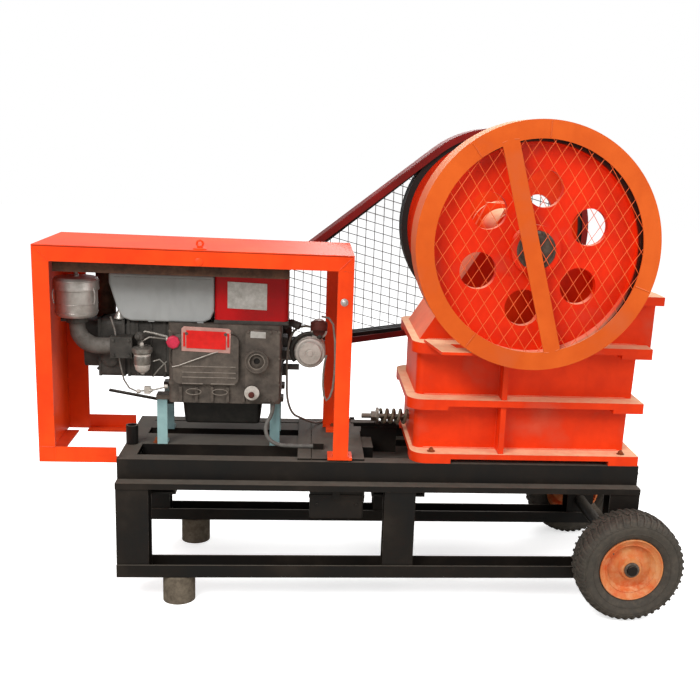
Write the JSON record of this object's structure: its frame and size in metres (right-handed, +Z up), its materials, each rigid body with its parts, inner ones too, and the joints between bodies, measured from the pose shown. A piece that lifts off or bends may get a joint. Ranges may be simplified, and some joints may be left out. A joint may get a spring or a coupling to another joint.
{
  "type": "portable jaw crusher",
  "caption": "Portable jaw crusher: ribbed body with guarded flywheel, belt-driven by a caged diesel engine on a skid and low wheeled frame.",
  "frame": {"origin": "centre of the overall box at ground level", "axes": "+X runs along the machine from the engine end to the feed end, +Y away from the flywheel side towards the belt side, +Z up"},
  "size_m": [1.89, 0.805, 1.442],
  "materials": {
    "orange": "gloss",
    "dark_red": "gloss",
    "engine_cast": "matt",
    "tank_grey": "satin",
    "hopper_red": "satin",
    "black_paint": "satin",
    "bare_steel": "satin",
    "alloy": "satin",
    "blue_paint": "satin",
    "tyre_rubber": "matt",
    "belt_rubber": "matt",
    "hose_rubber": "matt",
    "jaw_cast": "matt",
    "stump_wood": "rough",
    "cable_sleeve": "matt"
  },
  "bodies": {
    "machine": {"trailer_rails": "black_paint", "trailer_legs": "black_paint", "cross_beams": "black_paint", "skid_frame": "black_paint", "engine_rails": "black_paint", "deck_plates": "black_paint", "support_stumps": "stump_wood", "wheel_axle": "black_paint", "battery_box": "black_paint", "side_plates": "orange", "end_walls": "orange", "jaw_plates": "jaw_cast", "swing_jaw": "orange", "toggle_plate": "jaw_cast", "tension_rod": "bare_steel", "tension_spring": "bare_steel", "bearing_housings": "orange", "drive_belts": "belt_rubber", "guard_ring": "orange", "guard_mesh": "orange", "belt_guard_band": "dark_red", "belt_guard_mesh": "dark_red", "guard_stays": "orange", "crankcase": "engine_cast", "cylinder_head": "engine_cast", "oil_sump": "black_paint", "fuel_tank": "tank_grey", "water_hopper": "hopper_red", "air_cleaner": "alloy", "intake_elbow": "hose_rubber", "fuel_filter": "alloy", "engine_flywheel": "engine_cast", "alternator": "alloy", "engine_brackets": "blue_paint", "sleeve_cable": "cable_sleeve", "lead_cable": "hose_rubber", "cage_frame": "orange", "cage_sheets": "orange"},
    "rotor": {"eccentric_shaft": "bare_steel", "flywheel": "orange", "drive_pulley": "orange"},
    "near_wheel": {"near_tyre": "tyre_rubber", "near_rim": "orange"},
    "far_wheel": {"far_tyre": "tyre_rubber", "far_rim": "orange"}
  },
  "joints": [
    {"name": "crusher_shaft_spin", "type": "hinge", "parent": "machine", "child": "rotor", "pos_m": [0.421, 0, 1.096], "axis": [0, 1, 0], "continuous": true},
    {"name": "near_wheel_spin", "type": "hinge", "parent": "machine", "child": "near_wheel", "pos_m": [0.78, -0.345, 0.165], "axis": [0, 1, 0], "continuous": true},
    {"name": "far_wheel_spin", "type": "hinge", "parent": "machine", "child": "far_wheel", "pos_m": [0.78, 0.345, 0.165], "axis": [0, 1, 0], "continuous": true}
  ]
}
